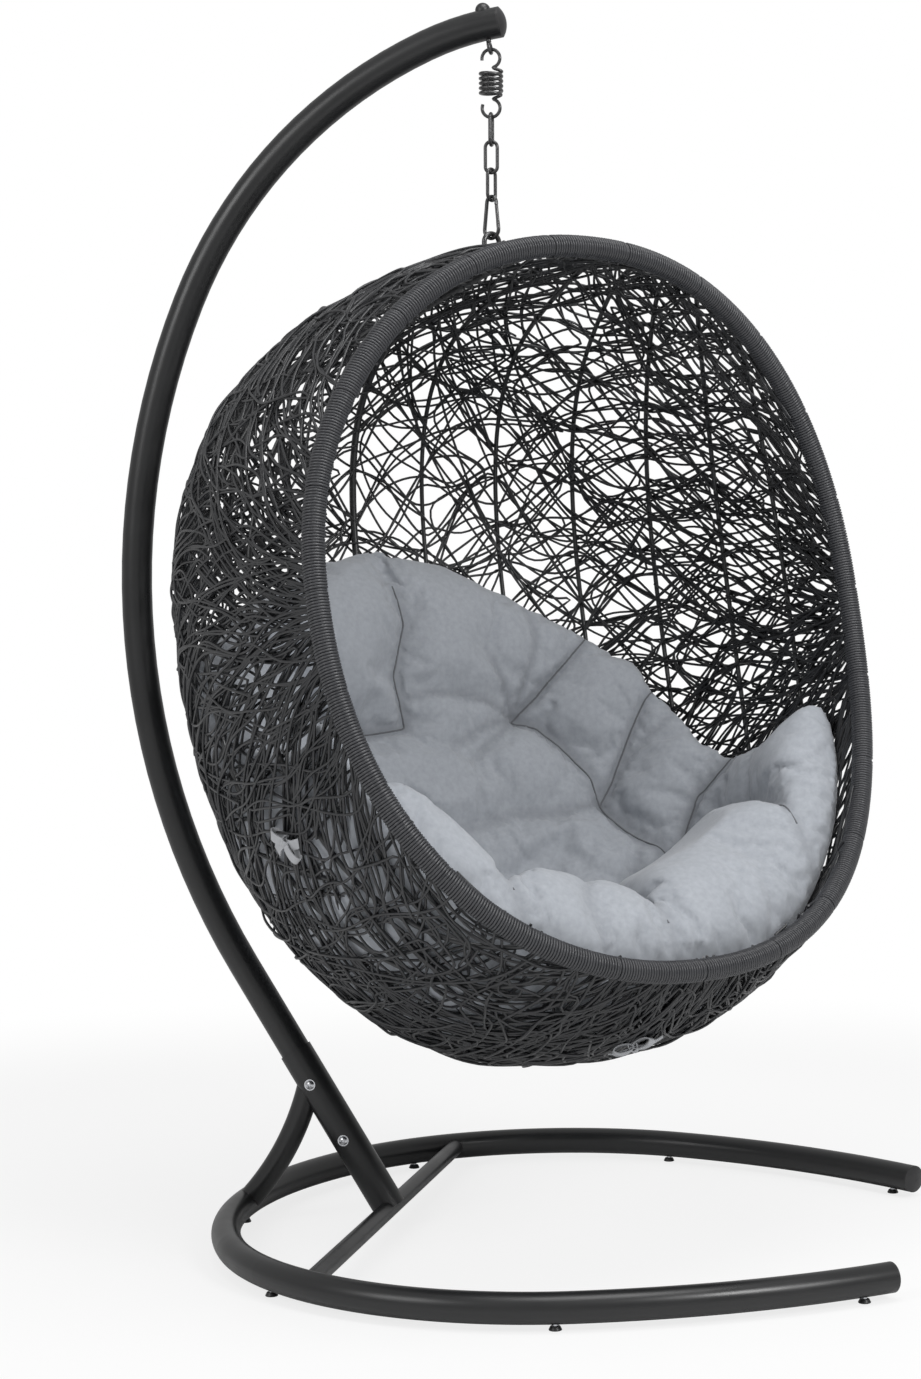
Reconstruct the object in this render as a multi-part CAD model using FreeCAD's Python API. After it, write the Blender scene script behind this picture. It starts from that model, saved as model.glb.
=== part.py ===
import FreeCAD, Part
import math
import os

# Hanging egg chair. Sizes are in millimetres.
# x = 0 is the stand's plane of symmetry, its legs open towards -y, and the floor is z = 0.

V = FreeCAD.Vector
UP = V(0, 0, 1)
ACROSS = V(1, 0, 0)
BACK = V(0, 1, 0)

# Fits
fit_gap = 0.3                 # one piece sliding in or hanging from another
hole_gap = 0.6                # bolt hole over its bolt

# Floor hoop: one rear bow and two legs, bent from one size of tube
hoop_od = 45.0
hoop_wall = 1.5
hoop_rear_y = 438.6
foot_height = 8.3             # floor to the underside of the hoop
rear_radius = 644.0
rear_angle = 27.2
corner_radius = 493.0
corner_angle = 78.5
leg_radius = 1177.0
leg_angle = 23.4
seam_at = 462.0               # joint of bow and leg, along the tube from the rear centre
neck_length = 60.0            # the bow's necked end inside the leg
neck_shoulder = 5.0

# Feet
foot_at = (0.0, 478.6, 954.6, 1417.3)
foot_stem_od = 8.0
foot_stem_top = 14.0
foot_pad_od = 20.0
foot_pad_top_od = 14.0
foot_pad_height = 6.0
foot_pad_bore_depth = 4.0

# Cross-bar, socket for the mast and its rear brace
cross_bar_od = 28.0
cross_bar_wall = 1.5
cross_bar_y = 196.7
mast_lean = 31.7              # from upright, towards the back
sleeve_wall = 2.0
sleeve_length = 296.8
brace_od = 38.0
brace_wall = 1.5
brace_radius = 430.0
brace_rise = 134.0            # direction of its foot, from the floor behind

# Mast
mast_od = 48.4
mast_wall = 2.0
mast_foot_at = 60.0           # lower end of the mast inside the sleeve
mast_straight_to = 458.4
mast_bends = ((1176.0, 54.4), (745.0, 44.2), (466.0, 15.0))
mast_bolt_at = (132.5, 236.7)

# Bolts through sleeve and mast
bolt_od = 8.0
bolt_head_od = 15.0
bolt_head_height = 5.0
bolt_socket_across = 5.0
bolt_socket_depth = 3.0
bolt_tail = 3.0
washer_od = 18.0
washer_thick = 1.6
nut_across = 13.0
nut_height = 6.5

# Plugs in the tube ends
plug_collar = 3.0
plug_stub = 14.0
leg_plug_dome = 4.0
mast_plug_dome = 9.0

# Eye bolt at the end of the mast
eye_from_end = 21.6
eye_wire = 6.0
eye_hole = 11.0
eye_clear = 0.8               # ring below the underside of the mast
eye_stem_od = 8.0
eye_nut_height = 6.0
eye_cap_od = 24.0
eye_cap_height = 11.0
eye_cap_wall = 1.6

# Spring
spring_wire = 5.4
spring_coil_od = 39.7
spring_hook_radius = 14.6     # to the middle of the wire
spring_pitch = 7.6
spring_half_turns = 11
spring_lead = 3.5             # drop from a hook to the first turn
hook_reach_top = 10.0         # the free ends pass the level of the hook's middle by this angle
hook_reach_bottom = 25.0

# Chain: three equal links
link_wire = 5.5
link_outer_width = 24.8
link_pitch = 49.3             # from end wire to end wire
link_turns = (0.0, 90.0, -27.0)

# Snap hook
snap_wire = 6.0
snap_length = 65.8            # from end wire to end wire
snap_top_radius = 9.3
snap_bottom_radius = 14.0
snap_turn = -117.0
snap_nose = 6.0
snap_hinge_stub = 5.0
snap_gate_od = 5.4
snap_gate_cone = 1.1          # tapered end that clears the stub as the gate opens
snap_tongue = 2.0
snap_slot = 2.6
snap_tongue_length = 5.0
snap_pin_od = 2.2
snap_pin_inset = 3.4          # hinge pin from the end of the stub
snap_pin_play = 0.05          # gate round its pin, on the radius

# Basket: an egg of two unlike halves, cut by a round-backed opening
basket_turn = 43.93           # it faces this far round from straight ahead
basket_lean = 11.55
basket_ahead = 73.0           # middle of the egg in front of the hanging line
basket_middle_z = 1008.8
egg_half_width = 517.0
egg_up = 541.0
egg_down = 723.0
egg_back = 480.0
egg_front = 519.0
egg_back_lift = 113.4         # the back end of the egg sits above its middle
egg_narrowing = 0.059         # narrower above than below
egg_roundness = 0.922         # 1 is an ellipse, seen from the front
egg_depth_roundness = 0.811
opening_at = 217.7            # the opening in front of the egg's middle
opening_radius = 1650.0       # its edge is a round arc, seen from the side
shell_wall = 4.0

# Rim and ribs
rim_tube_od = 25.0
rim_tube_wall = 1.5
wrap_thick = 4.6
rib_od = 8.0
rib_clear = 2.0               # between the weave and the ribs
cushion_clear = 2.0           # between the spine and the cushion's plain back
rib_pairs = 6
rib_spacing = 7.7             # degrees about an upright line in front of the basket
rib_line_ahead = 550.0
spine_od = 12.0
basket_eye_wire = 8.0
basket_eye_width = 36.0
basket_eye_slot = 3.0

# Cushion
cushion_thick = 118.0
cushion_side_gain = 70.0      # it is thicker towards its sides, measured in a slice
cushion_half_width = 478.0
cushion_back_top = 172.0      # direction of its upper edge from the middle of the bowl
cushion_side_drop = 40.0
cushion_front_end = 287.0
bowl_middle = (60.0, 100.0)   # from the egg's middle: towards the front, and up
cushion_points = 11           # on each side of a slice
cushion_slices = 8            # on each side of the middle
cushion_arm = 560.0           # from the middle of the bowl to the cushion
tuft_depth = 0.35
tuft_spread = 75.0
tufts = ((-156.0, 215.4), (156.0, 215.4), (-268.0, 236.1), (268.0, 236.1), (-83.0, 250.0), (83.0, 250.0))

# Ties of the cushion
tie_thick = 2.0
tie_width = 17.0
tie_loop = 34.0
tie_tail = 44.0
tie_knot = 19.0
tie_slot = 1.0                # free space round the tape where it goes through the weave
tie_at = ((39.0, 118.0), (170.0, 179.0))      # in front of the egg's middle, and round from its top
tie_loops = (0.0, 215.0)      # directions of loops and tails from the knot
tie_tails = (270.0, 60.0)


def save(name, shape):
    os.makedirs("parts", exist_ok=True)
    shape.exportStep("parts/" + name + ".step")
    state = "valid" if shape.isValid() else "INVALID"
    print(name, len(shape.Solids), "solids", round(shape.Volume), "mm3", state)


def both_sides(shape):
    return shape.mirror(V(0, 0, 0), ACROSS)


def placed(shape, point, direction):
    """A piece made along +z, moved to a point and pointed along a direction."""
    moved = shape.copy()
    moved.Placement = FreeCAD.Placement(point, FreeCAD.Rotation(UP, direction)).multiply(moved.Placement)
    return moved


# Paths are lists of steps: a run is (length,) and a bend is (radius, degrees, axis)
def step_length(step):
    if len(step) == 1:
        return step[0]
    return step[0] * math.radians(step[1])


def part_of(steps, begin, end):
    """The steps between two lengths along a path."""
    kept = []
    reached = 0.0
    for step in steps:
        length = step_length(step)
        low = max(begin - reached, 0.0)
        high = min(end - reached, length)
        if high > low:
            share = (high - low) / length
            kept.append((step[0] * share,) if len(step) == 1 else (step[0], step[1] * share, step[2]))
        reached += length
    return kept


def turned(point, heading, step, share=1.0):
    """Point and heading after a share of one step."""
    if len(step) == 1:
        return point + heading * (step[0] * share), heading
    radius, angle, axis = step
    centre = point + axis.cross(heading) * radius
    turn = FreeCAD.Rotation(axis, angle * share)
    return centre + turn.multVec(point - centre), turn.multVec(heading)


def path_end(start, heading, steps):
    for step in steps:
        start, heading = turned(start, heading, step)
    return start, heading


def path_wire(start, heading, steps):
    edges = []
    for step in steps:
        middle, _ = turned(start, heading, step, 0.5)
        end, next_heading = turned(start, heading, step)
        edges.append(Part.makeLine(start, end) if len(step) == 1 else Part.Arc(start, middle, end).toShape())
        start, heading = end, next_heading
    return Part.Wire(edges)


def round_profile(point, heading, diameter):
    return Part.Wire(Part.makeCircle(diameter / 2, point, heading))


def bar(start, heading, steps, diameter):
    """Round bar along a path."""
    profile = round_profile(start, heading, diameter)
    return path_wire(start, heading, steps).makePipeShell([profile], True, False)


def tube(start, heading, steps, diameter, wall):
    return bar(start, heading, steps, diameter).cut(bar(start, heading, steps, diameter - 2 * wall))


def arc_to(point, heading, target):
    """The bend that leaves a point along a heading and reaches the target."""
    chord = target - point
    axis = heading.cross(chord)
    half = math.atan2(axis.Length, heading.dot(chord))
    if half < 1e-5:
        return (chord.Length,)
    return (chord.Length / (2 * math.sin(half)), math.degrees(2 * half), axis.normalize())


def smooth_steps(points, headings):
    """Two bends between each pair of points, smooth at every joint."""
    steps = []
    for p, q, a, b in zip(points, points[1:], headings, headings[1:]):
        span = q - p
        both = a + b
        spread = 2 * (1 - a.dot(b))
        if spread < 1e-9:
            reach = span.dot(span) / (4 * span.dot(b))
        else:
            lean = span.dot(both)
            reach = (math.sqrt(lean * lean + spread * span.dot(span)) - lean) / spread
        middle = (p + q + (a - b) * reach) * 0.5
        first = arc_to(p, a, middle)
        _, heading = turned(p, a, first)
        steps.append(first)
        steps.append(arc_to(middle, heading, q))
    return steps


def least_gap(start, heading, steps, diameter, per_step=12):
    """Smallest free space between stretches of one bent wire."""
    points = []
    along = []
    reached = 0.0
    for step in steps:
        for index in range(per_step):
            share = index / per_step
            points.append(turned(start, heading, step, share)[0])
            along.append(reached + share * step_length(step))
        start, heading = turned(start, heading, step)
        reached += step_length(step)
    least = 1e9
    for i, point in enumerate(points):
        for j in range(i + 1, len(points)):
            if along[j] - along[i] > 4 * diameter:
                least = min(least, point.distanceToPoint(points[j]))
    return least - diameter


# The floor hoop
hoop_z = foot_height + hoop_od / 2
hoop_start = V(0, hoop_rear_y, hoop_z)
hoop_steps = [
    (rear_radius, rear_angle, -UP),
    (corner_radius, corner_angle, -UP),
    (leg_radius, leg_angle, -UP),
]
hoop_length = sum(step_length(step) for step in hoop_steps)
hoop_bore = hoop_od - 2 * hoop_wall
foot_points = [path_end(hoop_start, ACROSS, part_of(hoop_steps, 0, at))[0] for at in foot_at]
foot_points += [V(-point.x, point.y, point.z) for point in foot_points if point.x > 1]


def foot_holes():
    radius = foot_stem_od / 2 + fit_gap
    holes = [Part.makeCylinder(radius, foot_stem_top + 1, V(p.x, p.y, 0)) for p in foot_points]
    return Part.makeCompound(holes)


def hoop_between(begin, end, diameter):
    start, heading = path_end(hoop_start, ACROSS, part_of(hoop_steps, 0, begin))
    return bar(start, heading, part_of(hoop_steps, begin, end), diameter)


def rear_bow():
    """Bow with a necked end each side, so that the legs push over it."""
    shoulder = seam_at - neck_shoulder
    neck_od = hoop_bore - 2 * fit_gap
    neck_bore = neck_od - 2 * hoop_wall
    full = hoop_between(0, seam_at, hoop_od)
    neck = hoop_between(seam_at, seam_at + neck_length, neck_od)
    bore = hoop_between(0, shoulder, hoop_bore)
    narrow = hoop_between(shoulder, seam_at + neck_length, neck_bore)
    half = full.fuse(neck).cut(bore).cut(narrow)
    return half.fuse(both_sides(half)).removeSplitter().cut(foot_holes())


def hoop_leg():
    outer = hoop_between(seam_at, hoop_length, hoop_od)
    return outer.cut(hoop_between(seam_at, hoop_length, hoop_bore)).cut(foot_holes())


def end_plug(diameter, bore, dome):
    """Moulded plug along +z: a stub in the tube, a collar and a dome."""
    outer = diameter / 2
    stub = bore / 2 - fit_gap
    bend = (dome * dome + outer * outer) / (2 * dome)
    half = math.asin(outer / bend) / 2
    top = plug_collar + dome
    middle = V(bend * math.sin(half), 0, top - bend * (1 - math.cos(half)))
    lines = [
        Part.makeLine(V(0, 0, -plug_stub), V(stub - 1, 0, -plug_stub)),
        Part.makeLine(V(stub - 1, 0, -plug_stub), V(stub, 0, -plug_stub + 2)),
        Part.makeLine(V(stub, 0, -plug_stub + 2), V(stub, 0, 0)),
        Part.makeLine(V(stub, 0, 0), V(outer, 0, 0)),
        Part.makeLine(V(outer, 0, 0), V(outer, 0, plug_collar)),
        Part.Arc(V(outer, 0, plug_collar), middle, V(0, 0, top)).toShape(),
        Part.makeLine(V(0, 0, top), V(0, 0, -plug_stub)),
    ]
    return Part.Face(Part.Wire(lines)).revolve(V(0, 0, 0), UP, 360)


def foot_stem(point):
    bottom = foot_pad_height - foot_pad_bore_depth
    return Part.makeCylinder(foot_stem_od / 2, foot_stem_top - bottom, V(point.x, point.y, bottom))


def foot_pad(point):
    foot = V(point.x, point.y, 0)
    pad = Part.makeCone(foot_pad_od / 2, foot_pad_top_od / 2, foot_pad_height, foot)
    pad = pad.makeFillet(1.0, [edge for edge in pad.Edges if isinstance(edge.Curve, Part.Circle)])
    bottom = foot_pad_height - foot_pad_bore_depth
    return pad.cut(Part.makeCylinder(foot_stem_od / 2, foot_pad_height, foot + V(0, 0, bottom)))


# The mast and what holds it
lean_axis = V(0, math.sin(math.radians(mast_lean)), math.cos(math.radians(mast_lean)))
sleeve_start = V(0, cross_bar_y, hoop_z)
sleeve_bore = mast_od + 2 * fit_gap
sleeve_od = sleeve_bore + 2 * sleeve_wall
mast_start = sleeve_start + lean_axis * mast_foot_at
mast_steps = [(mast_straight_to - mast_foot_at,)] + [(r, angle, ACROSS) for r, angle in mast_bends]
mast_length = sum(step_length(step) for step in mast_steps)
mast_end, mast_end_heading = path_end(mast_start, lean_axis, mast_steps)
eye_station = path_end(mast_start, lean_axis, part_of(mast_steps, 0, mast_length - eye_from_end))
eye_down = ACROSS.cross(eye_station[1])


def bolt_holes():
    length = 2 * sleeve_od
    starts = [sleeve_start + lean_axis * at - ACROSS * (length / 2) for at in mast_bolt_at]
    return Part.makeCompound([Part.makeCylinder((bolt_od + hole_gap) / 2, length, s, ACROSS) for s in starts])


def cross_bar():
    reach = 2 * corner_radius
    start = V(-reach, cross_bar_y, hoop_z)
    outer = Part.makeCylinder(cross_bar_od / 2, 2 * reach, start, ACROSS)
    inner = Part.makeCylinder(cross_bar_od / 2 - cross_bar_wall, 2 * reach, start, ACROSS)
    side = hoop_between(0, hoop_length, hoop_od)
    pieces = outer.cut(inner).cut(side).cut(both_sides(side)).Solids
    return min(pieces, key=lambda piece: abs(piece.CenterOfMass.x))


def mast_sleeve():
    outer = Part.makeCylinder(sleeve_od / 2, sleeve_length, sleeve_start, lean_axis)
    bore = Part.makeCylinder(sleeve_bore / 2, sleeve_length, sleeve_start, lean_axis)
    bar_across = Part.makeCylinder(cross_bar_od / 2, sleeve_od * 2, sleeve_start - ACROSS * sleeve_od, ACROSS)
    return outer.cut(bore).cut(bar_across).cut(bolt_holes()).Solids[0]


def rear_brace():
    rise = math.radians(brace_rise)
    heading = V(0, math.cos(rise), math.sin(rise))
    steps = [(brace_radius, 36.0, -ACROSS)]
    sleeve = Part.makeCylinder(sleeve_od / 2, sleeve_length * 2, sleeve_start, lean_axis)
    hoop = hoop_between(0, seam_at / 2, hoop_od)
    body = tube(hoop_start, heading, steps, brace_od, brace_wall)
    pieces = body.cut(sleeve).cut(hoop).cut(both_sides(hoop)).Solids
    return max(pieces, key=lambda piece: piece.Volume)


def mast_tube():
    body = tube(mast_start, lean_axis, mast_steps, mast_od, mast_wall)
    start = eye_station[0] - eye_down * mast_od
    hole = Part.makeCylinder((eye_stem_od + hole_gap) / 2, 2 * mast_od, start, eye_down)
    return body.cut(bolt_holes()).cut(hole)


def hexagon(across, height, point, direction):
    radius = across / math.sqrt(3)
    turns = [math.radians(60 * i) for i in range(7)]
    corners = [V(radius * math.cos(turn), radius * math.sin(turn), 0) for turn in turns]
    return placed(Part.Face(Part.makePolygon(corners)).extrude(V(0, 0, height)), point, direction)


def mast_bolt(at):
    """Domed bolt with a hexagon socket, its head on the side that faces the viewer."""
    middle = sleeve_start + lean_axis * at
    seat = sleeve_od / 2 + washer_thick
    shank_length = 2 * seat + nut_height + bolt_tail
    shank = Part.makeCylinder(bolt_od / 2, shank_length, middle - ACROSS * seat, ACROSS)
    radius = bolt_head_od / 2
    ball = (radius * radius + bolt_head_height * bolt_head_height) / (2 * bolt_head_height)
    dome = Part.makeSphere(ball, V(0, 0, bolt_head_height - ball))
    dome = dome.common(Part.makeCylinder(radius + 1, bolt_head_height + 1))
    head = placed(dome, middle - ACROSS * seat, -ACROSS)
    top = middle - ACROSS * (seat + bolt_head_height)
    return shank.fuse(head).cut(hexagon(bolt_socket_across, bolt_socket_depth, top, ACROSS))


def washer(point, direction):
    ring = Part.makeCylinder(washer_od / 2, washer_thick)
    ring = ring.cut(Part.makeCylinder((bolt_od + fit_gap) / 2, washer_thick))
    return placed(ring, point, direction)


def mast_washers():
    return [
        washer(sleeve_start + lean_axis * at + ACROSS * (side * sleeve_od / 2), ACROSS * side)
        for at in mast_bolt_at
        for side in (-1, 1)
    ]


def mast_nut(at):
    point = sleeve_start + lean_axis * at + ACROSS * (sleeve_od / 2 + washer_thick)
    return hexagon(nut_across, nut_height, point, ACROSS).cut(
        Part.makeCylinder(bolt_od / 2, nut_height, point, ACROSS))


# The eye bolt: its ring hangs under the mast and its stem ends in a nut under a domed cap
ring_radius = (eye_hole + eye_wire) / 2
ring_middle = eye_station[0] + eye_down * (mast_od / 2 + eye_clear + ring_radius + eye_wire / 2)
hang_point = ring_middle + eye_down * ring_radius
cap_seat = eye_station[0] - eye_down * (mast_od / 2)


def eye_bolt():
    ring = Part.makeTorus(ring_radius, eye_wire / 2, ring_middle, eye_station[1])
    low = ring_middle - eye_down * ring_radius
    stem_length = (low - cap_seat).Length + eye_cap_height - 2 * eye_cap_wall - 1
    return ring.fuse(Part.makeCylinder(eye_stem_od / 2, stem_length, low, -eye_down)).cut(
        Part.makeCylinder(eye_hole / 2, 2 * eye_wire, ring_middle - eye_station[1] * eye_wire, eye_station[1]))


def saddle_cut():
    """The mast's outside, that the nut and the cap are fitted to."""
    return bar(mast_start, lean_axis, mast_steps, mast_od)


def eye_nut():
    nut = hexagon(nut_across, eye_nut_height, cap_seat, -eye_down)
    return nut.cut(Part.makeCylinder(eye_stem_od / 2, 3 * eye_nut_height, cap_seat + eye_down, -eye_down))


def eye_cap():
    """Domed cap with a skirt that follows the tube."""
    skirt = 6.0
    radius = eye_cap_od / 2
    ball = (radius * radius + eye_cap_height * eye_cap_height) / (2 * eye_cap_height)
    outer = Part.makeSphere(ball, V(0, 0, eye_cap_height - ball))
    outer = outer.common(Part.makeCylinder(radius + 1, eye_cap_height + 1))
    outer = outer.fuse(Part.makeCylinder(radius, skirt, V(0, 0, -skirt)))
    hollow_top = eye_cap_height - 2 * eye_cap_wall
    hollow = Part.makeCylinder(nut_across / math.sqrt(3) + fit_gap, skirt + hollow_top, V(0, 0, -skirt))
    cap = placed(outer.cut(hollow), cap_seat, -eye_down)
    return max(cap.cut(saddle_cut()).Solids, key=lambda piece: piece.Volume)


# The spring: hook, lead-in, turns, lead-out and hook in one wire
hang_y = hang_point.y
hook_rest = (eye_wire + spring_wire) / 2 + fit_gap
spring_top = hang_point.z + hook_rest
coil_radius = (spring_coil_od - spring_wire) / 2
coil_z = spring_top - 2 * spring_hook_radius - spring_lead
coil_drop = spring_pitch * spring_half_turns / 2
low_hook_top = coil_z - coil_drop - spring_lead
spring_bottom = low_hook_top - 2 * spring_hook_radius


def coil_place(turn):
    """Point and heading on the coil after a number of turns, counted from the left side."""
    angle = math.pi + 2 * math.pi * turn
    slope = spring_pitch / (2 * math.pi * coil_radius)
    point = V(coil_radius * math.cos(angle), hang_y + coil_radius * math.sin(angle), coil_z - spring_pitch * turn)
    return point, V(-math.sin(angle), math.cos(angle), -slope).normalize()


def spring_path():
    lift = math.radians(-hook_reach_top)
    hook_middle = V(0, hang_y, spring_top - spring_hook_radius)
    start = hook_middle + V(0, math.cos(lift), math.sin(lift)) * spring_hook_radius
    heading = V(0, -math.sin(lift), math.cos(lift))
    top_arc = (270 + hook_reach_top) / 2
    steps = [(spring_hook_radius, top_arc, ACROSS)] * 2
    places = [coil_place(quarter / 4) for quarter in range(2 * spring_half_turns + 1)]
    places.insert(0, (V(0, hang_y, spring_top - 2 * spring_hook_radius), BACK))
    places.append((V(0, hang_y, low_hook_top), -BACK))
    steps += smooth_steps([point for point, _ in places], [direction for _, direction in places])
    steps += [(spring_hook_radius, (270 + hook_reach_bottom) / 2, ACROSS)] * 2
    return start, heading, steps


# The chain links, each in a plane that contains the hanging line
link_radius = (link_outer_width - link_wire) / 2
link_gap = link_wire + fit_gap
link_tops = [spring_bottom + (spring_wire + link_wire) / 2 + fit_gap]
for _ in link_turns[1:]:
    link_tops.append(link_tops[-1] - link_pitch + link_gap)


def hung(shape, turn, height):
    """A piece made at the hanging line, with its upper wire at z = 0, turned and moved to its height."""
    moved = shape.copy()
    moved.rotate(V(0, 0, 0), UP, turn)
    moved.translate(V(0, hang_y, height))
    return moved


def chain_link():
    side = link_pitch - 2 * link_radius
    start = V(link_radius, 0, -link_radius - side)
    steps = [(side,), (link_radius, 180.0, -BACK), (side,), (link_radius, 180.0, -BACK)]
    return bar(start, UP, steps, link_wire)


# The snap hook in its own plane: x towards the gate, z up, its upper wire at z = 0
snap_top = link_tops[-1] - link_pitch + (link_wire + snap_wire) / 2 + fit_gap
snap_spread = snap_length - snap_top_radius - snap_bottom_radius
snap_flare = math.asin((snap_bottom_radius - snap_top_radius) / snap_spread)
snap_down = V(math.sin(snap_flare), 0, -math.cos(snap_flare))
snap_out = V(math.cos(snap_flare), 0, math.sin(snap_flare))
snap_side = snap_spread * math.cos(snap_flare)
snap_low = V(0, 0, -snap_top_radius - snap_spread) + snap_out * snap_bottom_radius
snap_nose_end = snap_low - snap_down * snap_nose
snap_stub_end = snap_low - snap_down * (snap_side - snap_hinge_stub)
snap_pivot = snap_stub_end - snap_down * snap_pin_inset


def slab(thickness, length, width):
    return Part.makeBox(width, thickness, length, V(-width / 2, -thickness / 2, 0))


def snap_body():
    flare = math.degrees(snap_flare)
    steps = [
        (snap_nose,),
        (snap_bottom_radius, 180 + 2 * flare, BACK),
        (snap_side,),
        (snap_top_radius, 180 - 2 * flare, BACK),
        (snap_hinge_stub,),
    ]
    body = bar(snap_nose_end, snap_down, steps, snap_wire)
    slot_length = 2 * snap_pin_inset
    slot = placed(slab(snap_slot, slot_length + 1, 2 * snap_wire), snap_stub_end + snap_down, -snap_down)
    tongue = Part.makeCylinder(snap_wire / 2, snap_tongue_length).common(
        slab(snap_tongue, snap_tongue_length, snap_wire))
    hole = Part.makeCylinder(snap_pin_od / 2, 2 * snap_wire, snap_pivot - BACK * snap_wire, BACK)
    return body.cut(slot).cut(hole).fuse(placed(tongue, snap_nose_end, -snap_down))


def snap_gate():
    """Gate along the open side: a tongue on the hinge pin, and a slotted end over the nose."""
    length = snap_side - snap_hinge_stub - snap_nose - 2 * fit_gap
    rod = Part.makeCylinder(snap_gate_od / 2, length - snap_gate_cone, V(0, 0, snap_gate_cone))
    rod = rod.fuse(Part.makeCone(0, snap_gate_od / 2, snap_gate_cone))
    slot_length = snap_tongue_length + 1
    rod = rod.cut(slab(snap_slot, slot_length, 2 * snap_wire).translated(V(0, 0, length - slot_length + fit_gap)))
    tongue_length = snap_pin_inset + fit_gap
    tongue = slab(snap_tongue, tongue_length + snap_gate_cone, snap_gate_od - 1).translated(V(0, 0, -tongue_length))
    knuckle = Part.makeCylinder((snap_gate_od - 1) / 2, snap_tongue, V(0, -snap_tongue / 2, -tongue_length), BACK)
    hole = Part.makeCylinder(snap_pin_od / 2 + snap_pin_play, 2 * snap_wire, V(0, -snap_wire, -tongue_length), BACK)
    gate = rod.fuse(tongue).fuse(knuckle).cut(hole)
    return placed(gate, snap_stub_end + snap_down * fit_gap, snap_down)


def snap_pin():
    return Part.makeCylinder(snap_pin_od / 2, snap_wire, snap_pivot - BACK * (snap_wire / 2), BACK)


# The basket is made in its own frame: x across, y towards its front, z up
basket_facing = FreeCAD.Rotation(UP, 180 - basket_turn)
basket_ahead_way = basket_facing.multVec(BACK)
basket_rotation = basket_facing.multiply(FreeCAD.Rotation(ACROSS, basket_lean))
basket_middle = V(0, hang_y, basket_middle_z) + basket_ahead_way * basket_ahead
basket_place = FreeCAD.Placement(basket_middle, basket_rotation)


def in_basket(shape):
    moved = shape.copy()
    moved.Placement = basket_place.multiply(moved.Placement)
    return moved


def powered(value, exponent):
    return math.copysign(abs(value) ** exponent, value)


def egg_size(y, inset):
    """Scale and lift of the egg's upright section at a depth; the inset draws the whole egg in."""
    reach = (egg_front if y > 0 else egg_back) - inset
    share = min(abs(y) / reach, 1.0)
    scale = (1 - share ** (2 / egg_depth_roundness)) ** (egg_depth_roundness / 2)
    return scale, egg_back_lift * (y / egg_back) ** 2 if y < 0 else 0.0


def section_point(y, angle, inset):
    """Point of the upright section at a depth; the angle runs from the top, towards +x."""
    scale, lift = egg_size(y, inset)
    rise = powered(math.cos(angle), egg_roundness)
    x = (egg_half_width - inset) * powered(math.sin(angle), egg_roundness) * scale
    x *= 1 - egg_narrowing * math.cos(angle)
    half_height = (egg_up if rise > 0 else egg_down) - inset
    return V(x, y, half_height * rise * scale + lift)


def inside_egg(x, y, z, inset):
    reach = (egg_front if y > 0 else egg_back) - inset
    if abs(y) >= reach:
        return False
    scale, lift = egg_size(y, inset)
    rise = (z - lift) / ((egg_up if z > lift else egg_down) - inset)
    leaning = 0.0
    for _ in range(3):
        side = x / ((egg_half_width - inset) * (1 - egg_narrowing * leaning))
        size = (abs(side) ** (2 / egg_roundness) + abs(rise) ** (2 / egg_roundness)) ** (egg_roundness / 2)
        leaning = powered(rise / size, 1 / egg_roundness) if size > 0 else 0.0
    return size < scale


def reach_in(start, direction, inset):
    """Where a ray from inside meets the egg drawn in by the inset."""
    low, high = 0.0, 2 * egg_down
    for _ in range(40):
        middle = (low + high) / 2
        point = start + direction * middle
        if inside_egg(point.x, point.y, point.z, inset):
            low = middle
        else:
            high = middle
    return start + direction * low


def opening_depth(z):
    return opening_at + opening_radius - math.sqrt(opening_radius ** 2 - z * z)


def rim_point(angle):
    """Where the egg's outside meets the opening, at an angle from the top."""
    low, high = 0.0, egg_front - 1.0
    for _ in range(40):
        y = (low + high) / 2
        if y > opening_depth(section_point(y, angle, 0).z):
            high = y
        else:
            low = y
    return section_point(low, angle, 0)


def headings_of(curve, values, step):
    return [(curve(value + step) - curve(value - step)).normalize() for value in values]


def rim_path():
    """One half of the rim, from its top to its bottom."""
    spans = 6
    angles = [math.pi * i / spans for i in range(spans + 1)]
    points = [rim_point(angle) for angle in angles]
    headings = headings_of(rim_point, angles, 0.01)
    headings[0] = ACROSS
    headings[-1] = -ACROSS
    return points[0], headings[0], smooth_steps(points, headings)


def rim_bar(diameter):
    half = bar(*rim_path(), diameter)
    return half.fuse(both_sides(half)).removeSplitter()


wrap_od = rim_tube_od + 2 * wrap_thick
shell_edge_back = wrap_od / 2 + fit_gap
cushion_inset = shell_wall + rib_clear + spine_od + cushion_clear


def opening_tool(behind):
    """Everything in front of the opening, moved back by a distance."""
    middle = V(-2 * egg_half_width, opening_at + opening_radius, 0)
    return Part.makeCylinder(opening_radius + behind, 4 * egg_half_width, middle, ACROSS)


def egg_solid(inset):
    """Loft through upright sections, closed by a point at the back."""
    depths = [egg_front * share for share in (0.86, 0.72, 0.54, 0.3, 0.15)]
    depths += [0.0] + [-(egg_back - inset) * share for share in (0.15, 0.3, 0.54, 0.72, 0.86, 0.94, 0.985)]
    count = 24
    wires = []
    for y in depths:
        points = [section_point(y, 2 * math.pi * i / count, inset) for i in range(count)]
        curve = Part.BSplineCurve()
        curve.interpolate(Points=points, PeriodicFlag=True)
        wires.append(Part.Wire(curve.toShape()))
    wires.append(Part.Vertex(section_point(inset - egg_back, 0, inset)))
    return Part.makeLoft(wires, True, False)


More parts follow.
